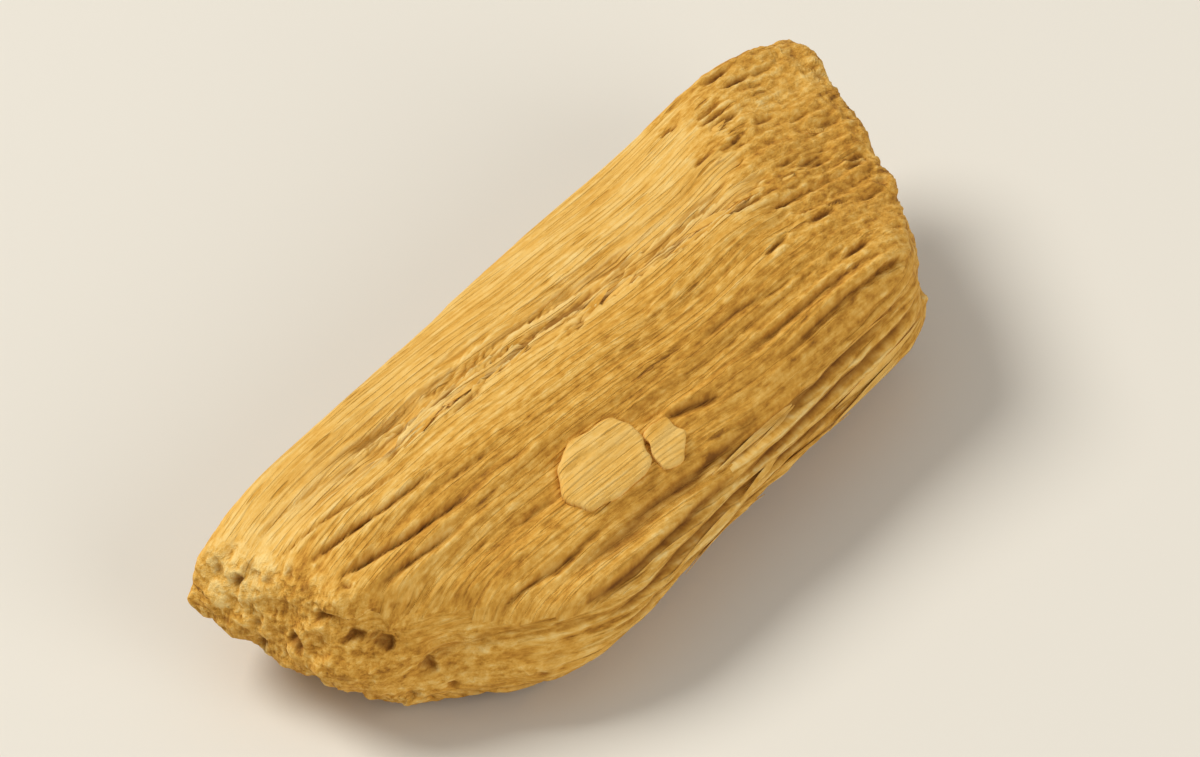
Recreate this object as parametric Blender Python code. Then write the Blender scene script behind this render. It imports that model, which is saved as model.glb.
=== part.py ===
"""A chip of palo santo wood, split along the grain and broken across it.

The chip is one solid. The grain runs along X and the chip lies on a small flat spot at z = 0.
Its main form is set by the planes it split and broke along. Fibre bundles, cracks, stepped
layers and torn ends are then raised from that form by formulas.
"""

import math

import bmesh
import bpy
from mathutils import Vector, noise

MM = 0.001

# Driving sizes, in millimetres
CHIP_LENGTH = 20.0
CHIP_WIDTH = 7.6
CHIP_HEIGHT = 5.2

# Cells of the surface grid along the grain, across the chip and up its sides
CELLS_ALONG = 40
CELLS_ACROSS = 34
CELLS_UP = 20

# An edge of the box that is longer than this share of its side hasn't been cut yet
WHOLE = 0.9

# The line inside the chip that its surface is measured from
SPINE_START = Vector((-6.6, 0.5, 2.0))
SPINE_END = Vector((6.6, 1.0, 2.4))
EDGE_SHARPNESS = 20.0

# Planes the chip split and broke along: a point on each, and the way it faces
SPLIT_FACES = {
    "far strip": ((0.0, 0.3, 4.95), (-0.05, 0.075, 1.0)),
    "main face": ((0.0, 0.3, 4.95), (-0.09, -0.47, 0.88)),
    "near side": ((0.0, -3.5, 2.05), (0.05, -0.90, 0.44)),
    "near underside": ((0.0, -3.0, 0.9), (0.05, -0.74, -0.67)),
    "underside": ((0.0, 0.0, -0.06), (0.0, 0.0, -1.0)),
    "far underside": ((0.0, 3.0, 0.9), (0.09, 0.78, -0.62)),
    "far side": ((0.0, 3.85, 3.0), (-0.01, 0.99, 0.13)),
}
BROKEN_FACES = {
    "left end": ((-9.3, 1.0, 2.2), (-0.98, -0.15, 0.10)),
    "left end top": ((-8.8, 0.8, 3.8), (-0.55, -0.05, 0.83)),
    "left end underside": ((-8.6, 0.0, 0.9), (-0.66, 0.0, -0.75)),
    "left near corner": ((-7.6, -1.5, 1.7), (-0.58, -0.76, 0.30)),
    "left near foot": ((-7.4, -1.5, 0.9), (-0.50, -0.60, -0.62)),
    "right end": ((9.2, 0.5, 2.4), (0.87, -0.49, 0.05)),
    "right near corner": ((7.4, -2.2, 1.8), (0.76, -0.63, 0.10)),
    "torn slope": ((4.6, 0.0, 4.95), (0.32, -0.26, 0.91)),
    "tip": ((11.3, 3.0, 3.0), (0.98, 0.10, 0.10)),
    "tip far corner": ((10.7, 3.8, 3.0), (0.62, 0.78, 0.0)),
    "right end underside": ((8.0, 0.5, 0.8), (0.58, -0.05, -0.80)),
}

# How the grain wanders along the chip: side sway, angle per millimetre, starting angle and lean
GRAIN_SWAY = 0.175
GRAIN_TURN = 0.31
GRAIN_START = 0.8
GRAIN_LEAN = 0.025
GRAIN_RISE_SHARE = 0.6

# A single line along the grain strays to the side over this length; lines far apart stray freely
STRAY_LENGTH = 2.4
STRAY_APART = 9.0

# Fibre bundles: length, width and height of the relief, in millimetres
WIDE_BUNDLES = (18.0, 1.6, 0.09)
FINE_BUNDLES = (12.0, 0.8, 0.06)
TORN_BUNDLES = (14.0, 0.8, 0.20)
FINE_BUNDLE_SHIFT = Vector((31.0, 0.0, 0.0))
SEAM_WIDTH = 0.30
SEAM_DEPTH = 0.9
SEED_SPREAD = 7.3

# Slow swells of the split faces, and lumps of the broken ends: length, width and height
SWELL = (5.5, 2.4, 0.11)
TORN_LUMPS = (1.1, 1.1, 0.20)
RELIEF_LOW = -1.0
RELIEF_HIGH = 0.34

# Cracks that follow the grain on the upper faces: start x, y there, end x, y there, and depth
CRACKS = (
    (-10.0, 1.55, -6.6, 0.80, 0.20),
    (-9.8, 0.70, -6.6, 0.15, 0.20),
    (-9.4, 2.45, -6.0, 2.10, 0.14),
    (-8.0, -1.60, -4.0, -2.25, 0.20),
    (-3.0, -2.45, 2.4, -2.70, 0.18),
    (1.6, -2.00, 6.4, -1.90, 0.14),
)
CRACK_HALF_WIDTH = 0.34
CRACK_TAPER = 1.2

# A crest along the ridge: the smooth strip lies a step lower behind this line
LAYER_EDGE_LINE = 7
LAYER_EDGE_Y = 0.95
LAYER_EDGE_DRIFT = -0.12
LAYER_EDGE_STRAY = 0.22
LAYER_EDGE_WIDTH = 0.45
LAYER_STEP = 0.16
LAYER_END = (3.5, 6.0)

# Grooves between split layers on the near side, as heights above the floor
NEAR_GROOVES = (2.95, 2.35, 1.75, 1.15)
NEAR_GROOVE_DEPTH = 0.28
NEAR_GROOVE_HALF_HEIGHT = 0.28
NEAR_GROOVE_DRIFT = 0.03
NEAR_GROOVE_STRAY = 0.16

# The flat spot that the chip lies on: its middle, its half sizes, and the rise of the wood round it
FOOT_MIDDLE = (-0.2, 0.4)
FOOT_HALF_SIZE = (4.2, 1.3)
FOOT_EDGE = (0.9, 1.35)
FOOT_RISE = 0.30

# How far a face must turn along the grain to be an end, and up, down or sideways to be a side
END_TURN = (0.35, 0.75)
UP_TURN = (0.45, 0.8)
NEAR_TURN = (0.5, 0.85)


def plane(point, facing):
    return Vector(point), Vector(facing).normalized()


PLANES = [plane(*spec) for spec in (SPLIT_FACES | BROKEN_FACES).values()]
LEAST_TOWARD = 0.02


def between(value, low, high):
    return max(low, min(high, value))


def ease(low, high, value):
    """0 below low, 1 above high, and smooth between them."""
    share = between((value - low) / (high - low), 0.0, 1.0)
    return share * share * (3.0 - 2.0 * share)


def cast_to_planes(start, way):
    """The point and the facing of the worn solid that the planes enclose, seen from inside it."""
    total = 0.0
    facing = Vector()
    for point, normal in PLANES:
        toward = normal.dot(way)
        if toward > LEAST_TOWARD:
            weight = (normal.dot(point - start) / toward) ** -EDGE_SHARPNESS
            total += weight
            facing += normal * weight
    return start + way * total ** (-1.0 / EDGE_SHARPNESS), facing.normalized()


def stretched_noise(spot, length, width, height):
    return height * noise.noise(Vector((spot.x / length, spot.y / width, spot.z / width)))


def bundle_relief(spot, length, width, height):
    """Height of the fibre bundles: rounded backs, sunk seams, and each bundle at its own level."""
    sway = GRAIN_SWAY * math.sin(GRAIN_TURN * spot.x + GRAIN_START) + GRAIN_LEAN * spot.x
    across = (spot.y + sway) / width
    up = (spot.z + GRAIN_RISE_SHARE * sway) / width
    distances, seeds = noise.voronoi(Vector((spot.x / length, across, up)))
    seam = 1.0 - ease(0.0, SEAM_WIDTH, distances[1] - distances[0])
    level = noise.noise(seeds[0] * SEED_SPREAD)
    return height * (level - SEAM_DEPTH * seam)


def stray(x, line):
    """How far a numbered line along the grain is off to the side here, from -1 to 1."""
    return noise.noise(Vector((x / STRAY_LENGTH, STRAY_APART * line, 0.0)))


def crack_depth(spot):
    """Depth of the deepest crack here: a V that runs with the grain and thins out at its ends."""
    depth = 0.0
    for start, start_y, end, end_y, most in CRACKS:
        opened = ease(start, start + CRACK_TAPER, spot.x)
        closed = ease(end - CRACK_TAPER, end, spot.x)
        line = start_y + (end_y - start_y) * (spot.x - start) / (end - start)
        off = abs(spot.y - line) / CRACK_HALF_WIDTH
        depth = max(depth, most * opened * (1.0 - closed) * max(0.0, 1.0 - off))
    return depth


def layer_drop(spot):
    """How far the smooth strip lies below the crest beside it."""
    edge = LAYER_EDGE_Y + LAYER_EDGE_DRIFT * spot.x
    edge += LAYER_EDGE_STRAY * stray(spot.x, LAYER_EDGE_LINE)
    behind = ease(edge, edge + LAYER_EDGE_WIDTH, spot.y)
    return LAYER_STEP * behind * (1.0 - ease(*LAYER_END, spot.x))


def groove_depth(spot):
    """Depth of the grooves where split layers end one above another on the near side."""
    depth = 0.0
    for number, height in enumerate(NEAR_GROOVES):
        line = height - NEAR_GROOVE_DRIFT * spot.x + NEAR_GROOVE_STRAY * stray(spot.x, number)
        off = abs(spot.z - line) / NEAR_GROOVE_HALF_HEIGHT
        depth = max(depth, NEAR_GROOVE_DEPTH * max(0.0, 1.0 - off))
    return depth


def foot_share(spot):
    """1 on the flat spot under the chip, 0 well outside it."""
    off_x = (spot.x - FOOT_MIDDLE[0]) / FOOT_HALF_SIZE[0]
    off_y = (spot.y - FOOT_MIDDLE[1]) / FOOT_HALF_SIZE[1]
    return 1.0 - ease(*FOOT_EDGE, math.hypot(off_x, off_y))


def relief(spot, facing):
    """How far the surface stands out of the worn planes, in millimetres."""
    end_on = ease(*END_TURN, abs(facing.x))
    upward = ease(*UP_TURN, facing.z)
    downward = ease(*UP_TURN, -facing.z)
    nearward = ease(*NEAR_TURN, -facing.y)
    split = bundle_relief(spot, *WIDE_BUNDLES)
    split += bundle_relief(spot + FINE_BUNDLE_SHIFT, *FINE_BUNDLES)
    split += stretched_noise(spot, *SWELL)
    split -= upward * (crack_depth(spot) + layer_drop(spot))
    split -= nearward * groove_depth(spot) + downward * FOOT_RISE
    torn = bundle_relief(spot, *TORN_BUNDLES) + stretched_noise(spot, *TORN_LUMPS)
    height = (1.0 - end_on) * split + end_on * torn
    return (1.0 - downward * foot_share(spot)) * between(height, RELIEF_LOW, RELIEF_HIGH)


def surface_point(box_point):
    """The point of the chip's surface that a point of the starting box moves to."""
    x = between(box_point.x, SPINE_START.x, SPINE_END.x)
    share = (x - SPINE_START.x) / (SPINE_END.x - SPINE_START.x)
    start = SPINE_START.lerp(SPINE_END, share)
    way = Vector((box_point.x - start.x, box_point.y, box_point.z)).normalized()
    spot, facing = cast_to_planes(start, way)
    spot += facing * relief(spot, facing)
    spot.z = max(spot.z, 0.0)
    return spot


def gridded_box():
    """A box of the chip's size, cut into cells, centred on the spine."""
    box = bmesh.new()
    bmesh.ops.create_cube(box, size=1.0)
    size = Vector((CHIP_LENGTH, CHIP_WIDTH, CHIP_HEIGHT))
    bmesh.ops.scale(box, vec=size, verts=box.verts)
    for axis, cells in enumerate((CELLS_ALONG, CELLS_ACROSS, CELLS_UP)):
        edges = [e for e in box.edges if abs((e.verts[0].co - e.verts[1].co)[axis]) > WHOLE * size[axis]]
        bmesh.ops.subdivide_edges(box, edges=edges, cuts=cells - 1, use_grid_fill=True)
    return box


def wood_material():
    """Raw split heartwood: a golden brown, dry and nearly matte."""
    material = bpy.data.materials.new("palo_santo_heartwood")
    material.use_nodes = True
    shader = material.node_tree.nodes["Principled BSDF"]
    shader.inputs["Base Color"].default_value = (0.60, 0.345, 0.085, 1.0)
    shader.inputs["Roughness"].default_value = 0.72
    shader.inputs["Metallic"].default_value = 0.0
    return material


def middle(values):
    return 0.5 * (min(values) + max(values))


def build_chip():
    shape = gridded_box()
    for vert in shape.verts:
        vert.co = surface_point(vert.co)
    middle_x = middle([vert.co.x for vert in shape.verts])
    middle_y = middle([vert.co.y for vert in shape.verts])
    bmesh.ops.translate(shape, vec=(-middle_x, -middle_y, 0.0), verts=shape.verts)
    bmesh.ops.scale(shape, vec=(MM, MM, MM), verts=shape.verts)
    bmesh.ops.recalc_face_normals(shape, faces=shape.faces)
    mesh = bpy.data.meshes.new("wood_chip")
    shape.to_mesh(mesh)
    shape.free()
    mesh.shade_smooth()
    mesh.materials.append(wood_material())
    return bpy.data.objects.new("wood_chip", mesh)


def main():
    for old in list(bpy.data.objects):
        bpy.data.objects.remove(old, do_unlink=True)
    wood = bpy.data.collections.new("palo_santo_wood")
    bpy.context.scene.collection.children.link(wood)
    wood.objects.link(build_chip())


main()
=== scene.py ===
import math
import random

import bpy
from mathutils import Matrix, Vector, noise
from mathutils.bvhtree import BVHTree


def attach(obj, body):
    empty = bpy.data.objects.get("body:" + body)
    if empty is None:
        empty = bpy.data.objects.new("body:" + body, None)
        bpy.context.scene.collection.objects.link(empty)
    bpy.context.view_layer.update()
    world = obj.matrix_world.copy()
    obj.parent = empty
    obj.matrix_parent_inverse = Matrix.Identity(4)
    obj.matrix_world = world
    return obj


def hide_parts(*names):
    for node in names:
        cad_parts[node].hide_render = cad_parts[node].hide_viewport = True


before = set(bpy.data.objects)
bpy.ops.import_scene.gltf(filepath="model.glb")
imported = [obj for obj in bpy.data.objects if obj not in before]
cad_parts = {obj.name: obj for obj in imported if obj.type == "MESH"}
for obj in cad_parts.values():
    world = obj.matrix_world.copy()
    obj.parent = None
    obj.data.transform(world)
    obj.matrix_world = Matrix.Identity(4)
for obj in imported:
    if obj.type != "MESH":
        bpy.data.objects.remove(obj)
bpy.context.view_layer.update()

scene = bpy.context.scene
mm = 0.001


# Small helpers

def deselectAll():
    if bpy.context.mode != "OBJECT":
        bpy.ops.object.mode_set(mode="OBJECT")
    bpy.ops.object.select_all(action="DESELECT")


def pick(*objects):
    deselectAll()
    for thing in objects:
        thing.select_set(True)
    bpy.context.view_layer.objects.active = objects[0]


def editAll(thing):
    pick(thing)
    bpy.ops.object.mode_set(mode="EDIT")
    bpy.ops.mesh.select_all(action="SELECT")


def applyModifier(thing, kind, **settings):
    pick(thing)
    modifier = thing.modifiers.new(kind.title(), kind)
    for name, value in settings.items():
        setattr(modifier, name, value)
    bpy.ops.object.modifier_apply(modifier=modifier.name)


def ease(low, high, value):  # 0 below low, 1 above high, smooth between
    share = max(0.0, min(1.0, (value - low) / (high - low)))
    return share * share * (3.0 - 2.0 * share)


def mix(first, second, share):
    return first + (second - first) * share


def bell(offset, width):  # 1 in the middle, fading out over the width
    return math.exp(-(offset / width) ** 2)


def setSpots(mesh, name, values):  # one number per vertex, for the material to read
    layer = mesh.attributes.get(name) or mesh.attributes.new(name, "FLOAT", "POINT")
    layer.data.foreach_set("value", values)


# The chip's body: a smoothed, finer copy of the solid chip

bodyForm = {
    "mergeDistance": 0.0005,  # mm
    "smoothing": 0.5,  # share of the way to the neighbours' middle in each step
    "smoothSteps": 3,
    "swell": 0.07,  # mm, gives back what the smoothing takes off
    "levels": 2,  # of subdivision
    "broadSteps": 30,  # smoothing of the plain form that tells the top from the sides and the ends
    "smoothAngle": 50.0,  # edges sharper than this stay sharp
}


def surfaceTree(thing):  # to find spots on the surface as it is now
    places = [vertex.co for vertex in thing.data.vertices]
    return BVHTree.FromPolygons(places, [face.vertices for face in thing.data.polygons])


def copyChip():
    solid = bpy.data.objects["wood_chip"]
    chip = bpy.data.objects.new("split_chip", solid.data.copy())
    scene.collection.objects.link(chip)
    chip.data.materials.clear()
    editAll(chip)
    bpy.ops.mesh.remove_doubles(threshold=bodyForm["mergeDistance"] * mm)
    bpy.ops.mesh.tris_convert_to_quads(face_threshold=math.pi, shape_threshold=math.pi)
    bpy.ops.mesh.vertices_smooth(factor=bodyForm["smoothing"], repeat=bodyForm["smoothSteps"])
    bpy.ops.transform.shrink_fatten(value=bodyForm["swell"] * mm)
    deselectAll()
    print("chip cage:", len(chip.data.vertices), "vertices,", len(chip.data.polygons), "faces")

    plain = bpy.data.objects.new("plain_form", chip.data.copy())
    scene.collection.objects.link(plain)
    editAll(plain)
    bpy.ops.mesh.vertices_smooth(factor=bodyForm["smoothing"], repeat=bodyForm["broadSteps"])
    deselectAll()
    plainTree = surfaceTree(plain)
    bpy.data.objects.remove(plain)

    levels = bodyForm["levels"]
    applyModifier(chip, "SUBSURF", levels=levels, render_levels=levels)
    return chip, plainTree


# The split surface. Wood splits along its fibres, so its faces are long strands at slightly
# different levels with grooves between them, and its ends are strands torn off at many lengths.
# All sizes from here to the material are in millimetres. A fixed number in the place that a noise
# is read at only keeps that noise apart from the others

grain = {
    "sway": 0.24,  # how far the fibres swing to each side
    "turn": 0.36,  # radians of the swing for each mm along the chip
    "start": 0.6,  # radians
    "lean": 0.03,  # steady drift to the side for each mm along the chip
    "rise": 0.6,  # share of the swing that also goes up and down
    "flatten": 0.12,  # how much of the depth a pattern keeps, so that it runs straight over a slope
    "topLevel": (0.40, 0.65),  # how level the form is where the sides' pattern turns into the top's
    "topFrom": 0.5,  # the same for the material, which has a hard border
}
viewShift = {"top": 0.0, "under": 20.0, "far": 40.0, "near": 60.0}  # keeps the four patterns apart
cellDraw = {"level": 91.7, "shade": 33.1, "chance": 57.3}  # give each cell numbers of its own
strandEdge = 0.22  # share of a strand's half width over which its edge steps down

# strand length and width, then its height on the smooth strip, the main face, the sides,
# the torn slope and the frayed crest
strands = {
    "broad": (24.0, 1.15, 0.025, 0.05, 0.07, 0.04, 0.05),
    "middle": (14.0, 0.47, 0.022, 0.045, 0.09, 0.06, 0.07),
    "narrow": (7.5, 0.21, 0.014, 0.025, 0.06, 0.05, 0.08),
    "fine": (4.5, 0.12, 0.008, 0.016, 0.03, 0.03, 0.04),
}

# hollows along the fibres: length, width, reach, share of places, then depth in the same order
hollows = {
    "longGroove": (11.0, 0.52, 0.36, 0.85, 0.0, 0.03, 0.09, 0.03, 0.04),
    "fineGroove": (7.5, 0.27, 0.36, 0.85, 0.010, 0.03, 0.07, 0.04, 0.05),
    "stroke": (1.6, 0.26, 0.37, 0.78, 0.0, 0.015, 0.03, 0.13, 0.10),
    "dot": (1.3, 0.24, 0.34, 0.50, 0.0, 0.04, 0.03, 0.06, 0.03),
}
shallowest = 0.004  # a shallower hollow is left out
hollowShade = (0.03, 0.10)  # depth at which a hollow starts to darken, and the further depth to full

# strands that stand proud: the same numbers, with heights
proud = {
    "longRib": (8.0, 0.40, 0.34, 0.65, 0.012, 0.02, 0.06, 0.04, 0.08),
    "crumb": (0.42, 0.20, 0.45, 0.70, 0.002, 0.025, 0.015, 0.04, 0.02),
}

# keeps each pattern apart from the others
patternShift = {"broad": 3.0, "middle": 17.0, "narrow": 41.0, "fine": 47.0, "longGroove": 5.0,
                "fineGroove": 29.0, "stroke": 63.0, "dot": 83.0, "longRib": 97.0, "crumb": 111.0,
                "tornBorder": 7.0, "endPit": 5.0, "flake": 131.0}

# the soft ridge between the smooth strip and the main face
ridge = {
    "points": ((-9.5, 1.57), (-7.1, 0.87), (-4.6, 0.63), (-2.3, 0.42), (1.7, 0.0), (3.6, -0.13)),
    "stray": 0.12,
    "strayTurn": 0.8,  # bends for each mm
    "blend": 0.25,
}

# a crest behind the ridge, where the upper layer ends in frayed splinters
crest = {
    "points": ((-7.6, 1.78), (-3.8, 1.44), (-1.05, 1.09), (3.15, 0.40), (4.6, 0.25)),
    "stray": 0.14,
    "strayTurn": 0.9,
    "onset": (-9.0, -5.4),  # it fades in along the chip
    "patches": (-0.25, 0.10),  # levels of a noise between its weak and its strong stretches
    "patchTurn": 0.5,
    "weakest": 0.60,
    "width": 0.34,
    "reach": 1.9,
    "lip": 0.08,
    "splinter": (3.4, 0.19),  # length and width
    "ragged": 0.55,
    # rows of splinters: place behind the line, height of the step down, pattern shift
    "rows": ((-0.16, 0.11, 71.0), (0.20, 0.16, 77.0), (0.58, 0.08, 83.0)),
    "stepEdge": 0.05,
    "stepFade": (0.15, 0.80),
    "shadow": (0.07, 0.10, 0.9),  # width, step that is fully dark, and how dark
    "ridgeTone": (-0.4, 0.2, 0.45),  # the strip is painted paler, partly its own tone and partly painted light as on a face turned to the lamp; this fades over this stretch, to this share
}

# cracks on the upper faces: their line from above, depth, half width
cracks = (
    (((-9.7, 1.90), (-7.2, 1.22), (-5.6, 0.98)), 0.10, 0.11),
    (((-9.6, 1.24), (-7.2, 0.70), (-5.0, 0.42)), 0.15, 0.12),
    (((-9.4, 0.50), (-7.4, -0.02), (-5.2, -0.34)), 0.17, 0.13),
    (((-8.9, -0.28), (-6.0, -0.64)), 0.12, 0.11),
    (((-9.5, 2.52), (-6.5, 2.26)), 0.07, 0.11),
    (((-7.4, -1.95), (-5.4, -2.30), (-3.2, -2.50)), 0.11, 0.11),
    (((-6.1, 0.22), (-4.0, -0.04)), 0.07, 0.10),
    (((-5.5, -1.22), (-3.7, -1.45)), 0.06, 0.10),
    (((-1.2, -1.76), (0.4, -2.20)), 0.18, 0.13),
    (((0.6, -1.22), (3.2, -1.42)), 0.07, 0.10),
    (((1.0, -1.96), (6.2, -2.12)), 0.12, 0.12),
    (((1.8, -2.45), (7.0, -2.42)), 0.13, 0.12),
)

# grooves along the near side: their line from the front, depth, half width
sideGrooves = (
    (((-5.6, 2.92), (-2.5, 3.08), (1.6, 3.18)), 0.16, 0.15),
    (((-5.8, 2.50), (-3.0, 2.66), (0.2, 2.76)), 0.17, 0.15),
    (((-5.6, 2.06), (-2.0, 2.26), (2.0, 2.40)), 0.17, 0.15),
    (((-5.4, 1.64), (-1.0, 1.84), (2.8, 2.02)), 0.17, 0.15),
    (((-1.6, 2.98), (1.6, 2.90), (6.2, 2.96)), 0.17, 0.15),
    (((-1.4, 2.58), (2.0, 2.56), (7.0, 2.50)), 0.18, 0.15),
    (((-0.8, 2.20), (3.0, 2.12), (7.4, 2.12)), 0.17, 0.15),
    (((-4.6, 1.32), (0.5, 1.56), (7.4, 1.72)), 0.17, 0.15),
    (((-5.0, 0.95), (0.0, 1.16), (6.8, 1.34)), 0.14, 0.15),
    (((-0.8, 0.76), (6.6, 0.94)), 0.11, 0.15),
)

# how cracks and grooves waver, change their width, taper and bottom out, and the lips along them
cutForm = {
    "waver": 0.04,
    "waverTurn": 0.9,  # bends for each mm
    "uneven": 0.5,  # share of the width
    "unevenTurn": 1.4,
    "fadeIn": (0.0, 0.25),  # shares of the length
    "fadeOut": (0.6, 1.0),
    "sharpness": 1.5,
    "lip": 0.15,  # share of the depth
    "lipPlace": 1.4,  # this and the next two in half widths
    "lipWidth": 0.5,
    "reach": 2.4,
}

# small pits in the crumbly left end: place and radius
pits = (
    ((-9.92, 2.44, 3.29), 0.24),
    ((-9.81, 0.90, 2.36), 0.30),
    ((-9.51, 0.46, 3.30), 0.22),
    ((-9.28, -0.17, 2.78), 0.28),
    ((-8.86, -0.57, 2.54), 0.26),
    ((-9.12, 0.24, 3.86), 0.18),
    ((-8.30, -1.25, 1.90), 0.24),
    ((-9.95, 1.90, 1.70), 0.25),
    ((-7.95, -1.60, 1.35), 0.22),
)
pitForm = {"ragged": 0.18, "size": 0.28, "shifts": (3.0, 37.0, 71.0), "reach": 1.6, "depth": 0.82}
darkDepth = {"crack": 0.18, "sideGroove": 0.12, "pit": 0.13}  # where each is fully dark

# strands that broke across: width, how far their ends stand out, pattern shift
tornEnds = {
    "wide": (0.75, 0.16, 53.0),
    "middle": (0.36, 0.13, 62.0),
    "fine": (0.17, 0.08, 71.0),
}
crumble = {
    "strandLength": 40.0,  # longer than the chip, so that a strand keeps its level
    "size": 0.45,
    "height": 0.06,
    "octaves": (0.8, 2.0, 3),
    "pitWidth": 0.40,
    "pitReach": 0.34,
    "pitShare": 0.35,
    "pitDepth": 0.07,
    "pitDark": 0.7,
    "leftWorn": 0.85,  # the left end is rubbed rounder
}
foot = {"middle": (-0.53, 0.33), "halfSize": (4.0, 1.27), "blend": (0.9, 1.3)}

# how far the plain form faces up, down, near or along where each surface starts and is complete
facingRanges = {
    "top": (0.35, 0.75),
    "under": (0.55, 0.85),
    "near": (0.45, 0.80),
    "torn": (0.30, 0.66),
}
tornBorder = {"strand": (60.0, 0.34), "ragged": 0.20}  # strands by length and width make it ragged
slopeForm = {"start": 4.1, "slant": 0.35, "ragged": 2.0, "blend": 0.35, "crumbs": 0.7}


def lineAt(points, x):
    for (x0, y0), (x1, y1) in zip(points, points[1:]):
        if x <= x1:
            return mix(y0, y1, max(0.0, (x - x0) / (x1 - x0)))
    return points[-1][1]


def wobble(x, turn, place, seed=0.0):  # a noise along the chip, from -1 to 1
    return noise.noise(Vector((x * turn, place, seed)))


def fibrePlace(spot):  # the spot with its fibre combed straight
    sway = grain["sway"] * math.sin(grain["turn"] * spot.x + grain["start"]) + grain["lean"] * spot.x
    return spot + Vector((0.0, sway, grain["rise"] * sway))


def fibreViews(spot, facing):  # share and place in the pattern on top and in the one on the sides
    place = fibrePlace(spot)
    level = abs(facing.z) / max(0.01, math.hypot(facing.y, facing.z))
    onTop = ease(*grain["topLevel"], level)
    views = []
    if onTop > 0.0:
        depth = grain["flatten"] * place.z + viewShift["top" if facing.z > 0.0 else "under"]
        views.append((onTop, Vector((place.x, place.y, depth))))
    if onTop < 1.0:
        depth = grain["flatten"] * place.y + viewShift["far" if facing.y > 0.0 else "near"]
        views.append((1.0 - onTop, Vector((place.x, depth, place.z))))
    return views


def stretched(place, length, width, shift):
    return Vector((place.x / length + shift, place.y / width, place.z / width))


def strandAt(place, length, width, shift):  # the level of this strand and a shade of its own
    distances, seeds = noise.voronoi(stretched(place, length, width, shift))
    here = noise.cell(seeds[0] * cellDraw["level"])
    beside = noise.cell(seeds[1] * cellDraw["level"])
    share = 0.5 + 0.5 * ease(0.0, strandEdge, distances[1] - distances[0])
    return 0.5 * mix(beside, here, share), noise.cell(seeds[0] * cellDraw["shade"])


def spindleAt(place, length, width, shift, reach, share):  # 1 in the middle of a thin spindle
    distances, seeds = noise.voronoi(stretched(place, length, width, shift))
    off = distances[0] / reach
    if off >= 1.0 or noise.cell(seeds[0] * cellDraw["chance"]) > 2.0 * share - 1.0:
        return 0.0
    return 1.0 - off * off


def cutAt(cuts, x, across, seed):  # depth of the cracks here, below 0 on their raised lips
    depth = 0.0
    for number, (points, deepest, half) in enumerate(cuts):
        start = points[0][0]
        end = points[-1][0]
        if not start < x < end:
            continue
        share = (x - start) / (end - start)
        waver = wobble(x, cutForm["waverTurn"], 7.0 * number, seed)
        uneven = wobble(x, cutForm["unevenTurn"], 9.0 * number, seed)
        wide = half * (1.0 + cutForm["uneven"] * uneven)
        off = abs(across - lineAt(points, x) - cutForm["waver"] * waver) / wide
        if off < cutForm["reach"]:
            ends = ease(*cutForm["fadeIn"], share) * (1.0 - ease(*cutForm["fadeOut"], share))
            shape = (1.0 - off) ** cutForm["sharpness"] if off < 1.0 else 0.0
            lip = cutForm["lip"] * bell(off - cutForm["lipPlace"], cutForm["lipWidth"])
            depth += deepest * ends * (shape - lip)
    return depth


def grainAt(place, regions):  # height, shade and darkness of the strands, hollows and ribs here
    height = 0.0
    tone = 0.0
    groove = 0.0
    for name, (length, width, *heights) in strands.items():
        level, shade = strandAt(place, length, width, patternShift[name])
        height += level * sum(share * most for share, most in zip(regions, heights))
        tone += shade / len(strands)
    for name, (length, width, reach, chance, *depths) in hollows.items():
        most = sum(share * depth for share, depth in zip(regions, depths))
        if most > shallowest:
            hollow = most * spindleAt(place, length, width, patternShift[name], reach, chance)
            height -= hollow
            groove = max(groove, (hollow - hollowShade[0]) / hollowShade[1])
    for name, (length, width, reach, chance, *heights) in proud.items():
        most = sum(share * stand for share, stand in zip(regions, heights))
        height += most * spindleAt(place, length, width, patternShift[name], reach, chance)
    return height, tone, groove


def endAt(spot, facing):  # the broken ends: stubs of strands and crumbs
    out = 1.0 if spot.x > 0.0 else -1.0
    along = 0.0
    shade = 0.0
    for width, stand, shift in tornEnds.values():
        level, ownShade = strandAt(spot, crumble["strandLength"], width, shift)
        along += out * stand * level
        shade += ownShade / len(tornEnds)
    crumb = crumble["height"] * noise.fractal(spot / crumble["size"], *crumble["octaves"])
    hole = crumble["pitDepth"] * spindleAt(spot, crumble["strandLength"], crumble["pitWidth"],
                                           patternShift["endPit"], crumble["pitReach"],
                                           crumble["pitShare"])
    move = facing * (crumb - hole)
    move.x += along
    if out < 0.0:
        move *= crumble["leftWorn"]
    return move, shade, hole / crumble["pitDepth"]


def pitDepth(spot):
    deepest = 0.0
    for place, radius in pits:
        apart = spot - Vector(place)
        if apart.length < pitForm["reach"] * radius:
            stray = [pitForm["ragged"] * noise.noise(spot / pitForm["size"] + Vector((shift, 0.0, 0.0)))
                     for shift in pitForm["shifts"]]
            away = (apart + Vector(stray)).length / radius
            if away < 1.0:
                deepest = max(deepest, (1.0 - away * away) ** 2 * radius * pitForm["depth"])
    return deepest


def crestAt(spot, line, share):  # drop and darkness behind the splinters of the crest
    drop = 0.0
    dark = 0.0
    if share > 0.0 and abs(spot.y - line) < crest["reach"]:
        width, darkStep, darkest = crest["shadow"]
        for behind, step, shift in crest["rows"]:
            splinter = strandAt(fibrePlace(spot), *crest["splinter"], shift)[0]
            off = spot.y - line - behind - crest["ragged"] * splinter
            down = ease(-crest["stepEdge"], crest["stepEdge"], off)
            drop += step * down * (1.0 - ease(*crest["stepFade"], off))
            dark = max(dark, darkest * bell(off - width, width) * step / darkStep)
    return share * drop, share * dark


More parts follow.
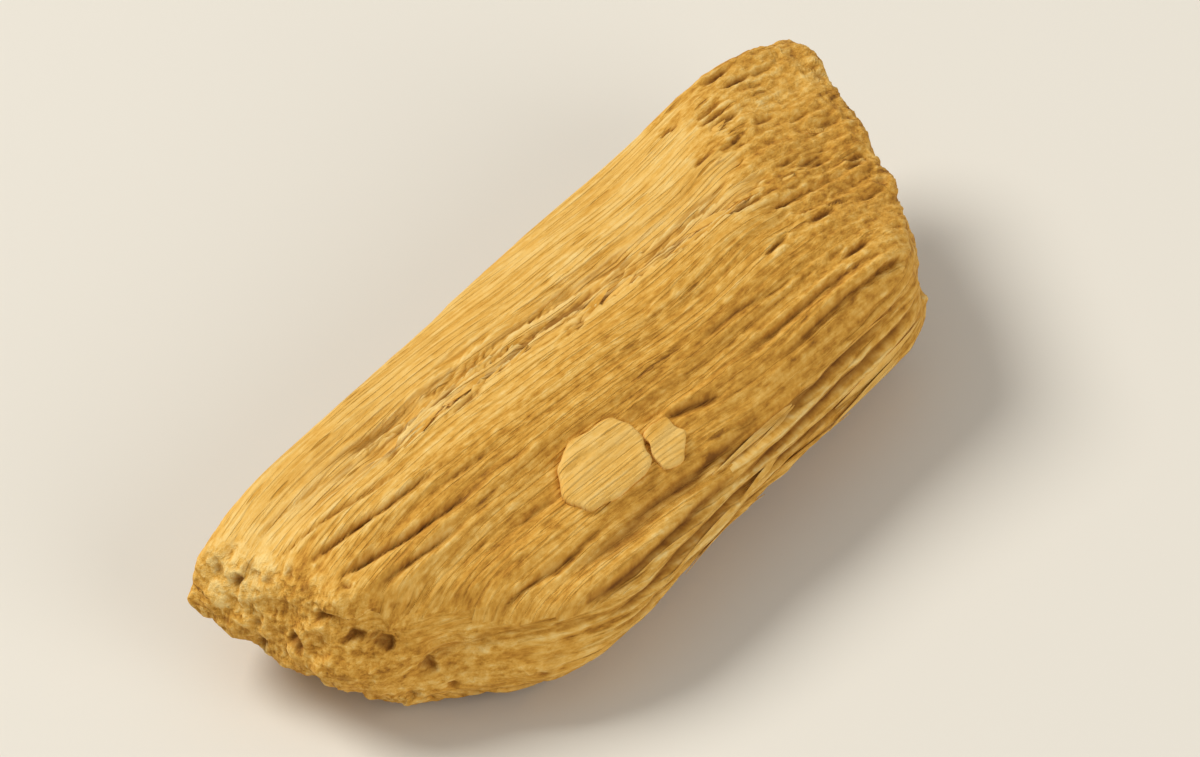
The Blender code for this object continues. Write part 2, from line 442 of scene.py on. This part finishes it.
def reliefAt(spot, facing, broad):  # broad is the way the plain form faces here
    around = max(0.01, math.hypot(broad.y, broad.z))
    up = ease(*facingRanges["top"], broad.z / around)
    down = ease(*facingRanges["under"], -broad.z / around)
    near = ease(*facingRanges["near"], -broad.y / around)
    raggedLevel = strandAt(fibrePlace(spot), *tornBorder["strand"], patternShift["tornBorder"])[0]
    torn = ease(*facingRanges["torn"], abs(broad.x) + tornBorder["ragged"] * raggedLevel)
    slopeStart = slopeForm["start"] + slopeForm["slant"] * spot.y + slopeForm["ragged"] * raggedLevel
    slope = up * ease(slopeStart, slopeStart + slopeForm["blend"], spot.x)

    line = lineAt(crest["points"], spot.x) + crest["stray"] * wobble(spot.x, crest["strayTurn"], 5.0)
    strong = ease(*crest["patches"], wobble(spot.x, crest["patchTurn"], 11.0))
    alongCrest = (up - slope) * ease(*crest["onset"], spot.x) * mix(crest["weakest"], 1.0, strong)
    frayed = alongCrest * bell(spot.y - line, crest["width"])
    edge = lineAt(ridge["points"], spot.x) + ridge["stray"] * wobble(spot.x, ridge["strayTurn"], 2.0)
    strip = (up - slope) * ease(edge - ridge["blend"], edge + ridge["blend"], spot.y)
    main = up - slope - strip
    regions = (strip * (1.0 - frayed), main * (1.0 - frayed), 1.0 - up, slope, frayed)

    parts = [(share, grainAt(place, regions)) for share, place in fibreViews(spot, broad)]
    height, tone, groove = (sum(share * values[number] for share, values in parts) for number in range(3))
    crack = up * cutAt(cracks, spot.x, spot.y, 1.0)
    gap = near * cutAt(sideGrooves, spot.x, spot.z, 5.0)
    drop, dark = crestAt(spot, line, alongCrest)
    height += crest["lip"] * frayed - crack - gap - drop
    groove = max(groove, crack / darkDepth["crack"], gap / darkDepth["sideGroove"], dark)

    move = facing * height
    if torn > 0.0:
        endMove, endShade, hole = endAt(spot, facing)
        move = move.lerp(endMove, torn)
        tone = mix(tone, endShade, torn)
        groove = mix(groove, crumble["pitDark"] * hole, torn)
    pit = pitDepth(spot)
    move -= facing * pit
    groove = max(groove, pit / darkDepth["pit"])

    offX = (spot.x - foot["middle"][0]) / foot["halfSize"][0]
    offY = (spot.y - foot["middle"][1]) / foot["halfSize"][1]
    flat = down * (1.0 - ease(*foot["blend"], math.hypot(offX, offY)))
    # the smooth strip's paler colour, partly painted light, is weaker near the crest
    before, behind, least = crest["ridgeTone"]
    smooth = strip * mix(least, 1.0, ease(line + before, line + behind, spot.y))
    return move * (1.0 - flat), min(1.0, groove), tone, max(torn, slopeForm["crumbs"] * slope), smooth


def splitSurface(chip, plainTree):
    mesh = chip.data
    spots = {name: [] for name in ("groove", "tone", "torn", "strip", "onTop")}
    places = [vertex.co / mm for vertex in mesh.vertices]
    facings = [vertex.normal.copy() for vertex in mesh.vertices]
    for vertex, place, facing in zip(mesh.vertices, places, facings):
        broad = plainTree.find_nearest(vertex.co)[1]
        move, *values = reliefAt(place, facing, broad)
        values.append(1.0 if abs(broad.z) > grain["topFrom"] * math.hypot(broad.y, broad.z) else 0.0)
        place = place + move
        place.z = max(place.z, 0.0)
        vertex.co = place * mm
        for name, value in zip(spots, values):
            spots[name].append(value)
    for name, values in spots.items():
        setSpots(mesh, name, values)
    mesh.update()


# Loose bits: pale flakes that lie on the main face, and slivers of fibre that lift off

flakes = {
    "large": {
        "outline": ((-3.70, -1.00), (-4.20, -1.50), (-3.95, -2.12), (-2.70, -2.36), (-2.05, -2.20),
                    (-1.86, -1.62), (-2.15, -1.02), (-2.85, -0.92)),
        "lift": 0.15, "curl": 0.10, "looseSide": (0.5, -0.87),
    },
    "small": {
        "outline": ((-1.62, -1.70), (-1.12, -1.90), (-1.16, -2.38), (-1.66, -2.62), (-2.02, -2.44),
                    (-1.95, -2.02)),
        "lift": 0.15, "curl": 0.14, "looseSide": (0.8, -0.6),
    },
}
flakeForm = {
    "sides": 56,
    "rings": 7,
    "thickness": 0.20,
    "cornerTurn": 0.16,  # radians, rounds the outline's corners
    "ragged": 0.16,
    "raggedTurn": 1.8,  # bends for each mm
    "teeth": 0.24,
    "teethTurn": 2.9,
    "rimDrop": 0.03,
    "strandLength": 9.0,
    "strands": ((0.60, 0.12), (0.30, 0.08)),  # width and height
    "pale": (0.56, 0.30),  # in the middle, and how much it varies
    "paleTurn": (0.8, 3.6),  # changes for each mm along and across the fibres
}
overChip = 20.0  # a height well over the chip, to look down from


def reachTo(points, middle, angle):  # from the middle to the outline
    way = Vector((math.cos(angle), math.sin(angle)))
    for start, end in zip(points, points[1:] + points[:1]):
        side = end - start
        turned = way.cross(side)
        if abs(turned) < 1e-9:
            continue
        share = -way.cross(start - middle) / turned
        reach = (start - middle + side * share).dot(way)
        if 0.0 <= share <= 1.0 and reach > 0.0:
            return reach
    return 0.0


def shapeFlake(name, body):
    form = flakes[name]
    points = [Vector(point) for point in form["outline"]]
    middle = sum(points, Vector((0.0, 0.0))) / len(points)
    deselectAll()
    bpy.ops.mesh.primitive_circle_add(vertices=flakeForm["sides"], radius=1.0, fill_type="NGON")
    flake = bpy.context.object
    flake.name = name + "_flake"
    editAll(flake)
    for _ in range(flakeForm["rings"]):
        bpy.ops.mesh.inset(thickness=1.0 / (flakeForm["rings"] + 1.0), depth=0.0)
    deselectAll()
    loose = Vector(form["looseSide"]).normalized()
    for vertex in flake.data.vertices:
        angle = math.atan2(vertex.co.y, vertex.co.x)
        corner = flakeForm["cornerTurn"]
        rounded = sum(reachTo(points, middle, angle + step) for step in (-corner, 0.0, corner)) / 3.0
        out = Vector((vertex.co.x, vertex.co.y)) * rounded
        place = middle + out
        rim = vertex.co.length ** 2
        turn = flakeForm["raggedTurn"]
        place += out * flakeForm["ragged"] * noise.noise(Vector((place.x * turn, place.y * turn, 4.0)))
        tooth = noise.noise(Vector((vertex.co.x, place.y * flakeForm["teethTurn"], 6.0)))
        place.x += rim * flakeForm["teeth"] * tooth
        hit = body.ray_cast(Vector((place.x, place.y, overChip)) * mm, Vector((0.0, 0.0, -1.0)))[0]
        share = max(0.0, (place - middle).dot(loose))
        spot = fibrePlace(Vector((place.x, place.y, 0.0)))
        level = sum(stand * strandAt(spot, flakeForm["strandLength"], width, patternShift["flake"])[0]
                    for width, stand in flakeForm["strands"])
        rise = form["lift"] + form["curl"] * share * share + level - flakeForm["rimDrop"] * rim * rim
        vertex.co = (place.x * mm, place.y * mm, hit.z + rise * mm)
    applyModifier(flake, "SOLIDIFY", thickness=flakeForm["thickness"] * mm, offset=-1.0)
    applyModifier(flake, "SUBSURF", levels=1, render_levels=1)
    editAll(flake)
    bpy.ops.mesh.normals_make_consistent(inside=False)
    deselectAll()
    places = [vertex.co / mm for vertex in flake.data.vertices]
    pale, varies = flakeForm["pale"]
    along, across = flakeForm["paleTurn"]
    setSpots(flake.data, "pale", [pale + varies * noise.noise(Vector((x * along, y * across, 2.0)))
                                  for x, y, _ in places])
    setSpots(flake.data, "onTop", [1.0] * len(flake.data.vertices))
    return flake


sliverForm = {
    "sides": 5,
    "stations": 7,
    "width": 0.8,  # this and the height in thicknesses, each to one side
    "height": 0.3,
    "tip": 0.1,  # share of the thickness at the very ends
    "widens": (-0.1, 0.6),  # shares of the length
    "narrows": (0.65, 1.0),
    "buried": 0.10,
    "sink": 0.7,  # under 1, a sliver comes down to the surface soon after its loose end
    "bend": 0.05,
    "bendTurn": 2.0,
    "bendStart": (0.0, 6.0),  # radians
    "steepest": 0.4,  # none is laid where the surface faces along the chip more than this
    "liftShare": (0.3, 1.0),
    "pale": (0.1, 0.5),
    "seed": 11,
}

# where slivers lift off: how many, x range, y range, z range, way they are looked for from,
# length and thickness ranges, and how far the loose end lifts
sliverRows = {
    "crest": (18, (-7.0, 4.2), "crest", (overChip, overChip), (0, 0, -1), (1.0, 2.6), (0.10, 0.17), 0.10),
    "nearSide": (16, (-5.0, 6.0), (-9.0, -9.0), (0.9, 3.2), (0, 1, 0), (1.5, 3.8), (0.09, 0.15), 0.06),
    "farSide": (10, (-7.5, 8.0), (9.0, 9.0), (0.9, 3.6), (0, -1, 0), (1.5, 3.5), (0.09, 0.15), 0.06),
    "slope": (12, (4.8, 7.6), (-1.2, 2.4), (overChip, overChip), (0, 0, -1), (0.6, 1.4), (0.08, 0.14), 0.05),
}


def modelSliver():  # one straight sliver from x = 0 to 1, slimmer towards its ends, with a radius of 1
    deselectAll()
    bpy.ops.mesh.primitive_cylinder_add(vertices=sliverForm["sides"], radius=1.0, depth=1.0,
                                        end_fill_type="TRIFAN", rotation=(0.0, math.pi / 2.0, 0.0))
    sliver = bpy.context.object
    pick(sliver)
    bpy.ops.object.transform_apply(rotation=True)
    for number in range(1, sliverForm["stations"]):
        editAll(sliver)
        cut = number / sliverForm["stations"] - 0.5
        bpy.ops.mesh.bisect(plane_co=(cut, 0.0, 0.0), plane_no=(1.0, 0.0, 0.0))
    deselectAll()
    for vertex in sliver.data.vertices:
        vertex.co.x = max(0.0, min(1.0, vertex.co.x + 0.5))
        full = ease(*sliverForm["widens"], vertex.co.x) * (1.0 - ease(*sliverForm["narrows"], vertex.co.x))
        slim = mix(sliverForm["tip"], 1.0, full)
        vertex.co.y *= slim
        vertex.co.z *= slim
    return sliver


def laySliver(model, body, start, way, length, thickness, lift, toward, turn):
    mesh = model.data.copy()
    sliver = bpy.data.objects.new("sliver", mesh)
    scene.collection.objects.link(sliver)
    for vertex in mesh.vertices:
        along, across, up = vertex.co
        hit, facing, _, _ = body.ray_cast((start + Vector((along * length * toward, 0.0, 0.0))) * mm, way)
        if hit is None or abs(facing.x) > sliverForm["steepest"]:
            bpy.data.objects.remove(sliver)
            return None
        side = facing.cross(Vector((toward, 0.0, 0.0))).normalized()
        rise = mix(lift, -sliverForm["buried"], along ** sliverForm["sink"])
        bend = sliverForm["bend"] * math.sin(sliverForm["bendTurn"] * along + turn)
        vertex.co = hit + (facing * (rise + thickness * sliverForm["height"] * up)
                           + side * (thickness * sliverForm["width"] * across + bend)) * mm
    return sliver


def laySlivers(body):
    model = modelSliver()
    draw = random.Random(sliverForm["seed"])
    laid = []
    for count, xs, ys, zs, way, lengths, thicknesses, lift in sliverRows.values():
        for _ in range(count):
            x = draw.uniform(*xs)
            y = lineAt(crest["points"], x) if ys == "crest" else draw.uniform(*ys)
            start = Vector((x, y, draw.uniform(*zs)))
            sliver = laySliver(model, body, start, Vector(way), draw.uniform(*lengths),
                               draw.uniform(*thicknesses), lift * draw.uniform(*sliverForm["liftShare"]),
                               draw.choice((-1.0, 1.0)), draw.uniform(*sliverForm["bendStart"]))
            if sliver:
                pale = draw.uniform(*sliverForm["pale"])
                setSpots(sliver.data, "pale", [pale] * len(sliver.data.vertices))
                laid.append(sliver)
    bpy.data.objects.remove(model)
    return laid


# Painted shade and highlight: hollow spots are painted darker, as dust and shade, and standing edges paler,
# as a painted highlight

shadeAndHighlight = {"steps": 3, "depth": 0.045}  # mm of height that gets the full painted shade or highlight


def shadeAndHighlightSpots(chip):
    mesh = chip.data
    near = [[] for _ in mesh.vertices]
    for edge in mesh.edges:
        first, second = edge.vertices
        near[first].append(second)
        near[second].append(first)
    smoothed = [vertex.co.copy() for vertex in mesh.vertices]
    for _ in range(shadeAndHighlight["steps"]):
        smoothed = [sum((smoothed[other] for other in others), smoothed[own]) / (len(others) + 1)
                    for own, others in enumerate(near)]
    stands = [(vertex.co - soft).dot(vertex.normal) / (shadeAndHighlight["depth"] * mm)
              for vertex, soft in zip(mesh.vertices, smoothed)]
    setSpots(mesh, "dustShadeAndHighlight", [max(-1.0, min(1.0, stand)) for stand in stands])


# Where each corner of a face lies along and across its fibre, in millimetres. As in the relief,
# the patterns leave out most of the depth, and the jump from top to side lies between two fibres
def fibreSpots(chip):
    mesh = chip.data
    onTop = [spot.value for spot in mesh.attributes["onTop"].data]
    places = [fibrePlace(vertex.co / mm) for vertex in mesh.vertices]
    keep = grain["flatten"]
    values = []
    for face in mesh.polygons:
        corners = list(face.vertices)
        top = sum(onTop[corner] for corner in corners) > 0.5 * len(corners)
        for corner in corners:
            x, y, z = places[corner]
            values += (x, y, z * keep) if top else (x, y * keep, z)
    mesh.attributes.new("fibre", "FLOAT_VECTOR", "CORNER").data.foreach_set("vector", values)


# Materials

def hexColour(code):  # sRGB hex to linear
    parts = [int(code[i:i + 2], 16) / 255.0 for i in (1, 3, 5)]
    return tuple(c / 12.92 if c <= 0.04045 else ((c + 0.055) / 1.055) ** 2.4 for c in parts) + (1.0,)


def addNode(tree, kind, settings=None, values=None, links=None):
    node = tree.nodes.new(kind)
    for name, value in (settings or {}).items():
        setattr(node, name, value)
    for name, value in (values or {}).items():
        node.inputs[name].default_value = value
    for name, source in (links or {}).items():
        tree.links.new(source, node.inputs[name])
    return node


def setRamp(node, stops):
    ramp = node.color_ramp
    while len(ramp.elements) > 1:
        ramp.elements.remove(ramp.elements[-1])
    ramp.elements[0].position = stops[0][0]
    ramp.elements[0].color = stops[0][1]
    for place, colour in stops[1:]:
        ramp.elements.new(place).color = colour


woodFinish = {
    "pale": "#E9C87E",
    "light": "#DEAF56",
    "middle": "#CD9739",
    "brown": "#B27B24",
    "dark": "#855613",
    "pit": "#74430A",  # dust and shadow in the deepest spots
    "stops": {"dark": 0.18, "brown": 0.36, "middle": 0.54, "light": 0.72, "pale": 0.95},
    "level": -0.465,  # brings the sum of the noises to the middle of the stops
    "looseTone": 0.90,
    "pitShare": 0.65,
    "roughness": (0.68, 0.95),
    "ior": 1.5,
    "specular": 0.3,
    "bump": 0.045,  # mm
    "bumpStrength": 0.9,
    "bumpShares": {"dust": 0.3, "fibre": 0.45, "vessel": -0.7},
    "looseBump": 0.7,  # share of the bump that is left on the loose bits
}

# noises along the fibres: length and width in mm, shift, detail, roughness, share of the tone
woodNoises = {
    "bands": (16.0, 1.3, 1.0, 2.0, 0.5, 0.30),
    "streaks": (9.0, 0.42, 4.0, 6.0, 0.62, 0.50),
    "fibres": (3.2, 0.075, 3.0, 3.0, 0.60, 0.52),
    "dust": (0.32, 0.12, 5.0, 3.0, 0.65, 0.24),
    "stains": (5.0, 2.0, 9.0, 3.0, 0.55, 0.35),
}
# the last two make the smooth strip paler, partly as painted light on a face turned to the lamp, and hollows
# darker and standing edges paler, as painted shade and highlight
toneSpots = {"tone": 0.08, "strip": 0.18, "dustShadeAndHighlight": 0.24}

# more patterns: size along and across the fibres in mm, and share of the tone. A vessel's line is
# about 0.08 mm wide, near the real size. Real fibres are about 0.02 mm wide, too fine to show, and
# are drawn 0.13 mm wide
woodPattern = {
    "wave": {"size": (7.0, 3.0), "reach": 0.5},  # reach in mm
    "crumb": {"size": (0.32, 0.13), "levels": (0.25, 0.75)},
    "dust": {"levels": (0.30, 0.70), "share": 0.14, "onStrip": -0.7},  # onStrip: 70% less there
    "fibre": {"size": (5.0, 0.13), "line": 0.16, "share": 0.09, "torn": 0.6},
    "vessel": {"size": (1.6, 0.19), "edge": (0.14, 0.26), "chosen": 0.52, "share": -0.18},
}


def patternScale(length, width):
    return (1 / length, 1 / width, 1 / width)


# Split palo santo heartwood, raw: dry and nearly matte, gold with browner streaks. Light catches on each
# fibre, grooves, cracks and pits are painted darker as dust and shade, standing edges paler as a painted
# highlight, and the smooth strip paler, partly as painted light
def makeWood():
    wood = bpy.data.materials.new("palo_santo_raw_split")
    wood.use_nodes = True
    tree = wood.node_tree
    shader = tree.nodes["Principled BSDF"]
    fibre = addNode(tree, "ShaderNodeAttribute", {"attribute_name": "fibre"}).outputs["Vector"]

    # slow waves carry the streaks off the straight line
    wave = woodPattern["wave"]
    slow = addNode(tree, "ShaderNodeMapping", None, {"Scale": patternScale(*wave["size"])},
                   {"Vector": fibre})
    waves = addNode(tree, "ShaderNodeTexNoise", None, {"Scale": 1.0, "Detail": 2.0},
                    {"Vector": slow.outputs[0]})
    centred = addNode(tree, "ShaderNodeVectorMath", {"operation": "SUBTRACT"}, {1: (0.5, 0.5, 0.5)},
                      {0: waves.outputs["Color"]})
    along = addNode(tree, "ShaderNodeVectorMath", {"operation": "MULTIPLY_ADD"},
                    {1: (0.0, wave["reach"], wave["reach"])},
                    {0: centred.outputs[0], 2: fibre}).outputs[0]

    spots = {}
    for name in ("tone", "groove", "torn", "strip", "pale", "dustShadeAndHighlight"):
        spots[name] = addNode(tree, "ShaderNodeAttribute", {"attribute_name": name}).outputs["Fac"]

    # where the fibres are broken across, their ends and crumbs
    crumb = woodPattern["crumb"]
    solid = addNode(tree, "ShaderNodeTexCoord").outputs["Object"]
    cut = addNode(tree, "ShaderNodeMapping", None,
                  {"Scale": patternScale(*(size * mm for size in crumb["size"]))}, {"Vector": solid})
    crumbs = addNode(tree, "ShaderNodeTexNoise", None, {"Scale": 1.0, "Detail": 3.0, "Roughness": 0.65},
                     {"Vector": cut.outputs[0]}).outputs["Fac"]
    crumbs = addNode(tree, "ShaderNodeMapRange", None,
                     {"From Min": crumb["levels"][0], "From Max": crumb["levels"][1]},
                     {"Value": crumbs}).outputs[0]

    # one number from dark to light
    noises = {}
    total = None
    for name, (length, width, shift, detail, roughness, share) in woodNoises.items():
        spread = addNode(tree, "ShaderNodeMapping", None,
                         {"Scale": patternScale(length, width), "Location": (shift, shift, shift)},
                         {"Vector": along})
        noises[name] = addNode(tree, "ShaderNodeTexNoise", None,
                               {"Scale": 1.0, "Detail": detail, "Roughness": roughness},
                               {"Vector": spread.outputs[0]}).outputs["Fac"]
        if name == "fibres":
            noises[name] = addNode(tree, "ShaderNodeMix", None, None,
                                   {0: spots["torn"], 2: noises[name], 3: crumbs}).outputs[0]
        links = {0: noises[name]}
        if total:
            links[2] = total
        total = addNode(tree, "ShaderNodeMath", {"operation": "MULTIPLY_ADD"},
                        {1: share, 2: woodFinish["level"]}, links).outputs[0]
    for name, share in toneSpots.items():
        total = addNode(tree, "ShaderNodeMath", {"operation": "MULTIPLY_ADD"}, {1: share},
                        {0: spots[name], 2: total}).outputs[0]

    # dusty specks, fewer on the smooth strip
    dust = woodPattern["dust"]
    rubbed = addNode(tree, "ShaderNodeMath", {"operation": "MULTIPLY_ADD"}, {1: dust["onStrip"], 2: 1.0},
                     {0: spots["strip"]}).outputs[0]
    speck = addNode(tree, "ShaderNodeMapRange", {"clamp": True},
                    {"From Min": dust["levels"][0], "From Max": dust["levels"][1],
                     "To Min": -dust["share"], "To Max": dust["share"]},
                    {"Value": noises["dust"]}).outputs[0]
    total = addNode(tree, "ShaderNodeMath", {"operation": "MULTIPLY_ADD"}, None,
                    {0: speck, 1: rubbed, 2: total}).outputs[0]

    # fine fibres side by side, with a thin line between each two
    thread = woodPattern["fibre"]
    fine = addNode(tree, "ShaderNodeMapping", None, {"Scale": patternScale(*thread["size"])},
                   {"Vector": along})
    between = addNode(tree, "ShaderNodeTexVoronoi", {"feature": "DISTANCE_TO_EDGE"}, {"Scale": 1.0},
                      {"Vector": fine.outputs[0]}).outputs["Distance"]
    fibreRound = addNode(tree, "ShaderNodeMapRange", {"interpolation_type": "SMOOTHSTEP"},
                         {"From Min": 0.0, "From Max": thread["line"], "To Min": 0.0, "To Max": 1.0},
                         {"Value": between}).outputs[0]
    fibreRound = addNode(tree, "ShaderNodeMix", None, {3: thread["torn"]},
                         {0: spots["torn"], 2: fibreRound}).outputs[0]
    total = addNode(tree, "ShaderNodeMath", {"operation": "MULTIPLY_ADD"}, {1: thread["share"]},
                    {0: fibreRound, 2: total}).outputs[0]

    # the open vessels of the wood: short dark lines along the grain
    vessel = woodPattern["vessel"]
    cells = addNode(tree, "ShaderNodeMapping", None, {"Scale": patternScale(*vessel["size"])},
                    {"Vector": along})
    vessels = addNode(tree, "ShaderNodeTexVoronoi", {"feature": "F1"}, {"Scale": 1.0},
                      {"Vector": cells.outputs[0]})
    vesselLine = addNode(tree, "ShaderNodeMapRange", {"interpolation_type": "SMOOTHSTEP"},
                         {"From Min": vessel["edge"][0], "From Max": vessel["edge"][1],
                          "To Min": 1.0, "To Max": 0.0},
                         {"Value": vessels.outputs["Distance"]}).outputs[0]
    chosen = addNode(tree, "ShaderNodeSeparateColor", None, None,
                     {"Color": vessels.outputs["Color"]}).outputs[0]
    some = addNode(tree, "ShaderNodeMath", {"operation": "GREATER_THAN"}, {1: vessel["chosen"]},
                   {0: chosen}).outputs[0]
    vesselMask = addNode(tree, "ShaderNodeMath", {"operation": "MULTIPLY"}, None,
                         {0: vesselLine, 1: some}).outputs[0]
    total = addNode(tree, "ShaderNodeMath", {"operation": "MULTIPLY_ADD"}, {1: vessel["share"]},
                    {0: vesselMask, 2: total}).outputs[0]

    # the loose bits are paler and plainer
    total = addNode(tree, "ShaderNodeMix", None, {3: woodFinish["looseTone"]},
                    {0: spots["pale"], 2: total}).outputs[0]

    colours = addNode(tree, "ShaderNodeValToRGB", None, None, {"Fac": total})
    setRamp(colours, [(place, hexColour(woodFinish[name])) for name, place in woodFinish["stops"].items()])
    # grooves, cracks, pits and the step behind the crest take the pit colour: dust and painted shade
    depth = addNode(tree, "ShaderNodeMath", {"operation": "MULTIPLY"}, {1: woodFinish["pitShare"]},
                    {0: spots["groove"]}).outputs[0]
    shadowed = addNode(tree, "ShaderNodeMix", {"data_type": "RGBA"}, {7: hexColour(woodFinish["pit"])},
                       {0: depth, 6: colours.outputs[0]})
    tree.links.new(shadowed.outputs[2], shader.inputs["Base Color"])

    rough = addNode(tree, "ShaderNodeMapRange", None,
                    {"To Min": woodFinish["roughness"][0], "To Max": woodFinish["roughness"][1]},
                    {"Value": noises["stains"]}).outputs[0]
    tree.links.new(rough, shader.inputs["Roughness"])
    shader.inputs["IOR"].default_value = woodFinish["ior"]
    shader.inputs["Specular IOR Level"].default_value = woodFinish["specular"]

    lift = noises["fibres"]
    rises = {"dust": noises["dust"], "fibre": fibreRound, "vessel": vesselMask}
    for name, share in woodFinish["bumpShares"].items():
        lift = addNode(tree, "ShaderNodeMath", {"operation": "MULTIPLY_ADD"}, {1: share},
                       {0: rises[name], 2: lift}).outputs[0]
    plain = addNode(tree, "ShaderNodeMath", {"operation": "MULTIPLY_ADD"},
                    {1: woodFinish["looseBump"] - 1.0, 2: 1.0}, {0: spots["pale"]}).outputs[0]
    lift = addNode(tree, "ShaderNodeMath", {"operation": "MULTIPLY"}, None, {0: lift, 1: plain}).outputs[0]
    bump = addNode(tree, "ShaderNodeBump", None,
                   {"Strength": woodFinish["bumpStrength"], "Distance": woodFinish["bump"] * mm},
                   {"Height": lift})
    tree.links.new(bump.outputs[0], shader.inputs["Normal"])
    return wood


chip, plainTree = copyChip()
body = surfaceTree(chip)
splitSurface(chip, plainTree)
shadeAndHighlightSpots(chip)
print("split surface:", len(chip.data.polygons), "faces")
loose = [shapeFlake(name, body) for name in flakes]
print("flakes:", len(loose))
loose += laySlivers(body)
print("loose bits:", len(loose))
setSpots(chip.data, "pale", [0.0] * len(chip.data.vertices))
pick(chip, *loose)
bpy.ops.object.join()
fibreSpots(chip)
chip.data.materials.append(makeWood())
pick(chip)
bpy.ops.object.shade_smooth_by_angle(angle=math.radians(bodyForm["smoothAngle"]))
print("chip:", sum(len(face.vertices) - 2 for face in chip.data.polygons), "triangles")
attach(chip, "root")
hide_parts("wood_chip")

# The setting: pale floor, soft studio light

# in metres and degrees where no unit is given
setting = {
    "floorColour": "#D8D4CA",
    "floorRoughness": 0.9,
    "floorSize": 1.2,
    "azimuth": -51.3,
    "elevation": 43.0,
    "distance": 0.36,
    "pictureWidth": 25.0,  # mm across the picture at the chip
    "aim": (0.16, 0.97, 2.45),  # mm
    "sensorWidth": 36.0,  # mm
    "nearest": 0.01,
    "lightColour": (1.0, 0.97, 0.92),
    "lightAim": (0.0, 0.0, 0.002),
    "skyColour": (1.0, 0.98, 0.96, 1.0),
    "skyStrength": 0.40,
}

# places to the right, ahead and up as the camera sees them, with power in watts
lights = {
    "window_light": {"place": (-0.28, 0.08, 0.32), "size": 0.22, "power": 1.7},
    "fill_light": {"place": (0.30, -0.26, 0.22), "size": 0.35, "power": 0.8},
}

deselectAll()
bpy.ops.mesh.primitive_plane_add(size=setting["floorSize"], location=(0.0, 0.0, 0.0))
floor = bpy.context.object
floor.name = "pale_floor"
paper = bpy.data.materials.new("matte_paper")
paper.use_nodes = True
paperShader = paper.node_tree.nodes["Principled BSDF"]
paperShader.inputs["Base Color"].default_value = hexColour(setting["floorColour"])
paperShader.inputs["Roughness"].default_value = setting["floorRoughness"]
floor.data.materials.append(paper)

turn = math.radians(setting["azimuth"])
rise = math.radians(setting["elevation"])
right = Vector((math.cos(turn), math.sin(turn), 0.0))
ahead = Vector((-math.sin(turn), math.cos(turn), 0.0))


def softLight(name, place, size, power):
    light = bpy.data.lights.new(name, "AREA")
    light.shape = "DISK"
    light.size = size
    light.energy = power
    light.color = setting["lightColour"]
    lamp = bpy.data.objects.new(name, light)
    scene.collection.objects.link(lamp)
    lamp.location = right * place[0] + ahead * place[1] + Vector((0.0, 0.0, place[2]))
    lamp.rotation_euler = (Vector(setting["lightAim"]) - lamp.location).to_track_quat("-Z", "Y").to_euler()


for name, light in lights.items():
    softLight(name, **light)

world = bpy.data.worlds.new("studio")
scene.world = world
world.use_nodes = True
sky = world.node_tree.nodes["Background"]
sky.inputs["Color"].default_value = setting["skyColour"]
sky.inputs["Strength"].default_value = setting["skyStrength"]
print("floor and lights:", len(lights), "lights")

camera = bpy.data.cameras.new("camera")
cameraObject = bpy.data.objects.new("camera", camera)
scene.collection.objects.link(cameraObject)
scene.camera = cameraObject
back = Vector((0.0, 0.0, math.sin(rise))) - ahead * math.cos(rise)
cameraObject.location = Vector(setting["aim"]) * mm + back * setting["distance"]
cameraObject.rotation_euler = (-back).to_track_quat("-Z", "Y").to_euler()
camera.sensor_width = setting["sensorWidth"]
camera.lens = camera.sensor_width * setting["distance"] / (setting["pictureWidth"] * mm)
camera.clip_start = setting["nearest"]
scene.view_settings.view_transform = "Standard"

print("done")
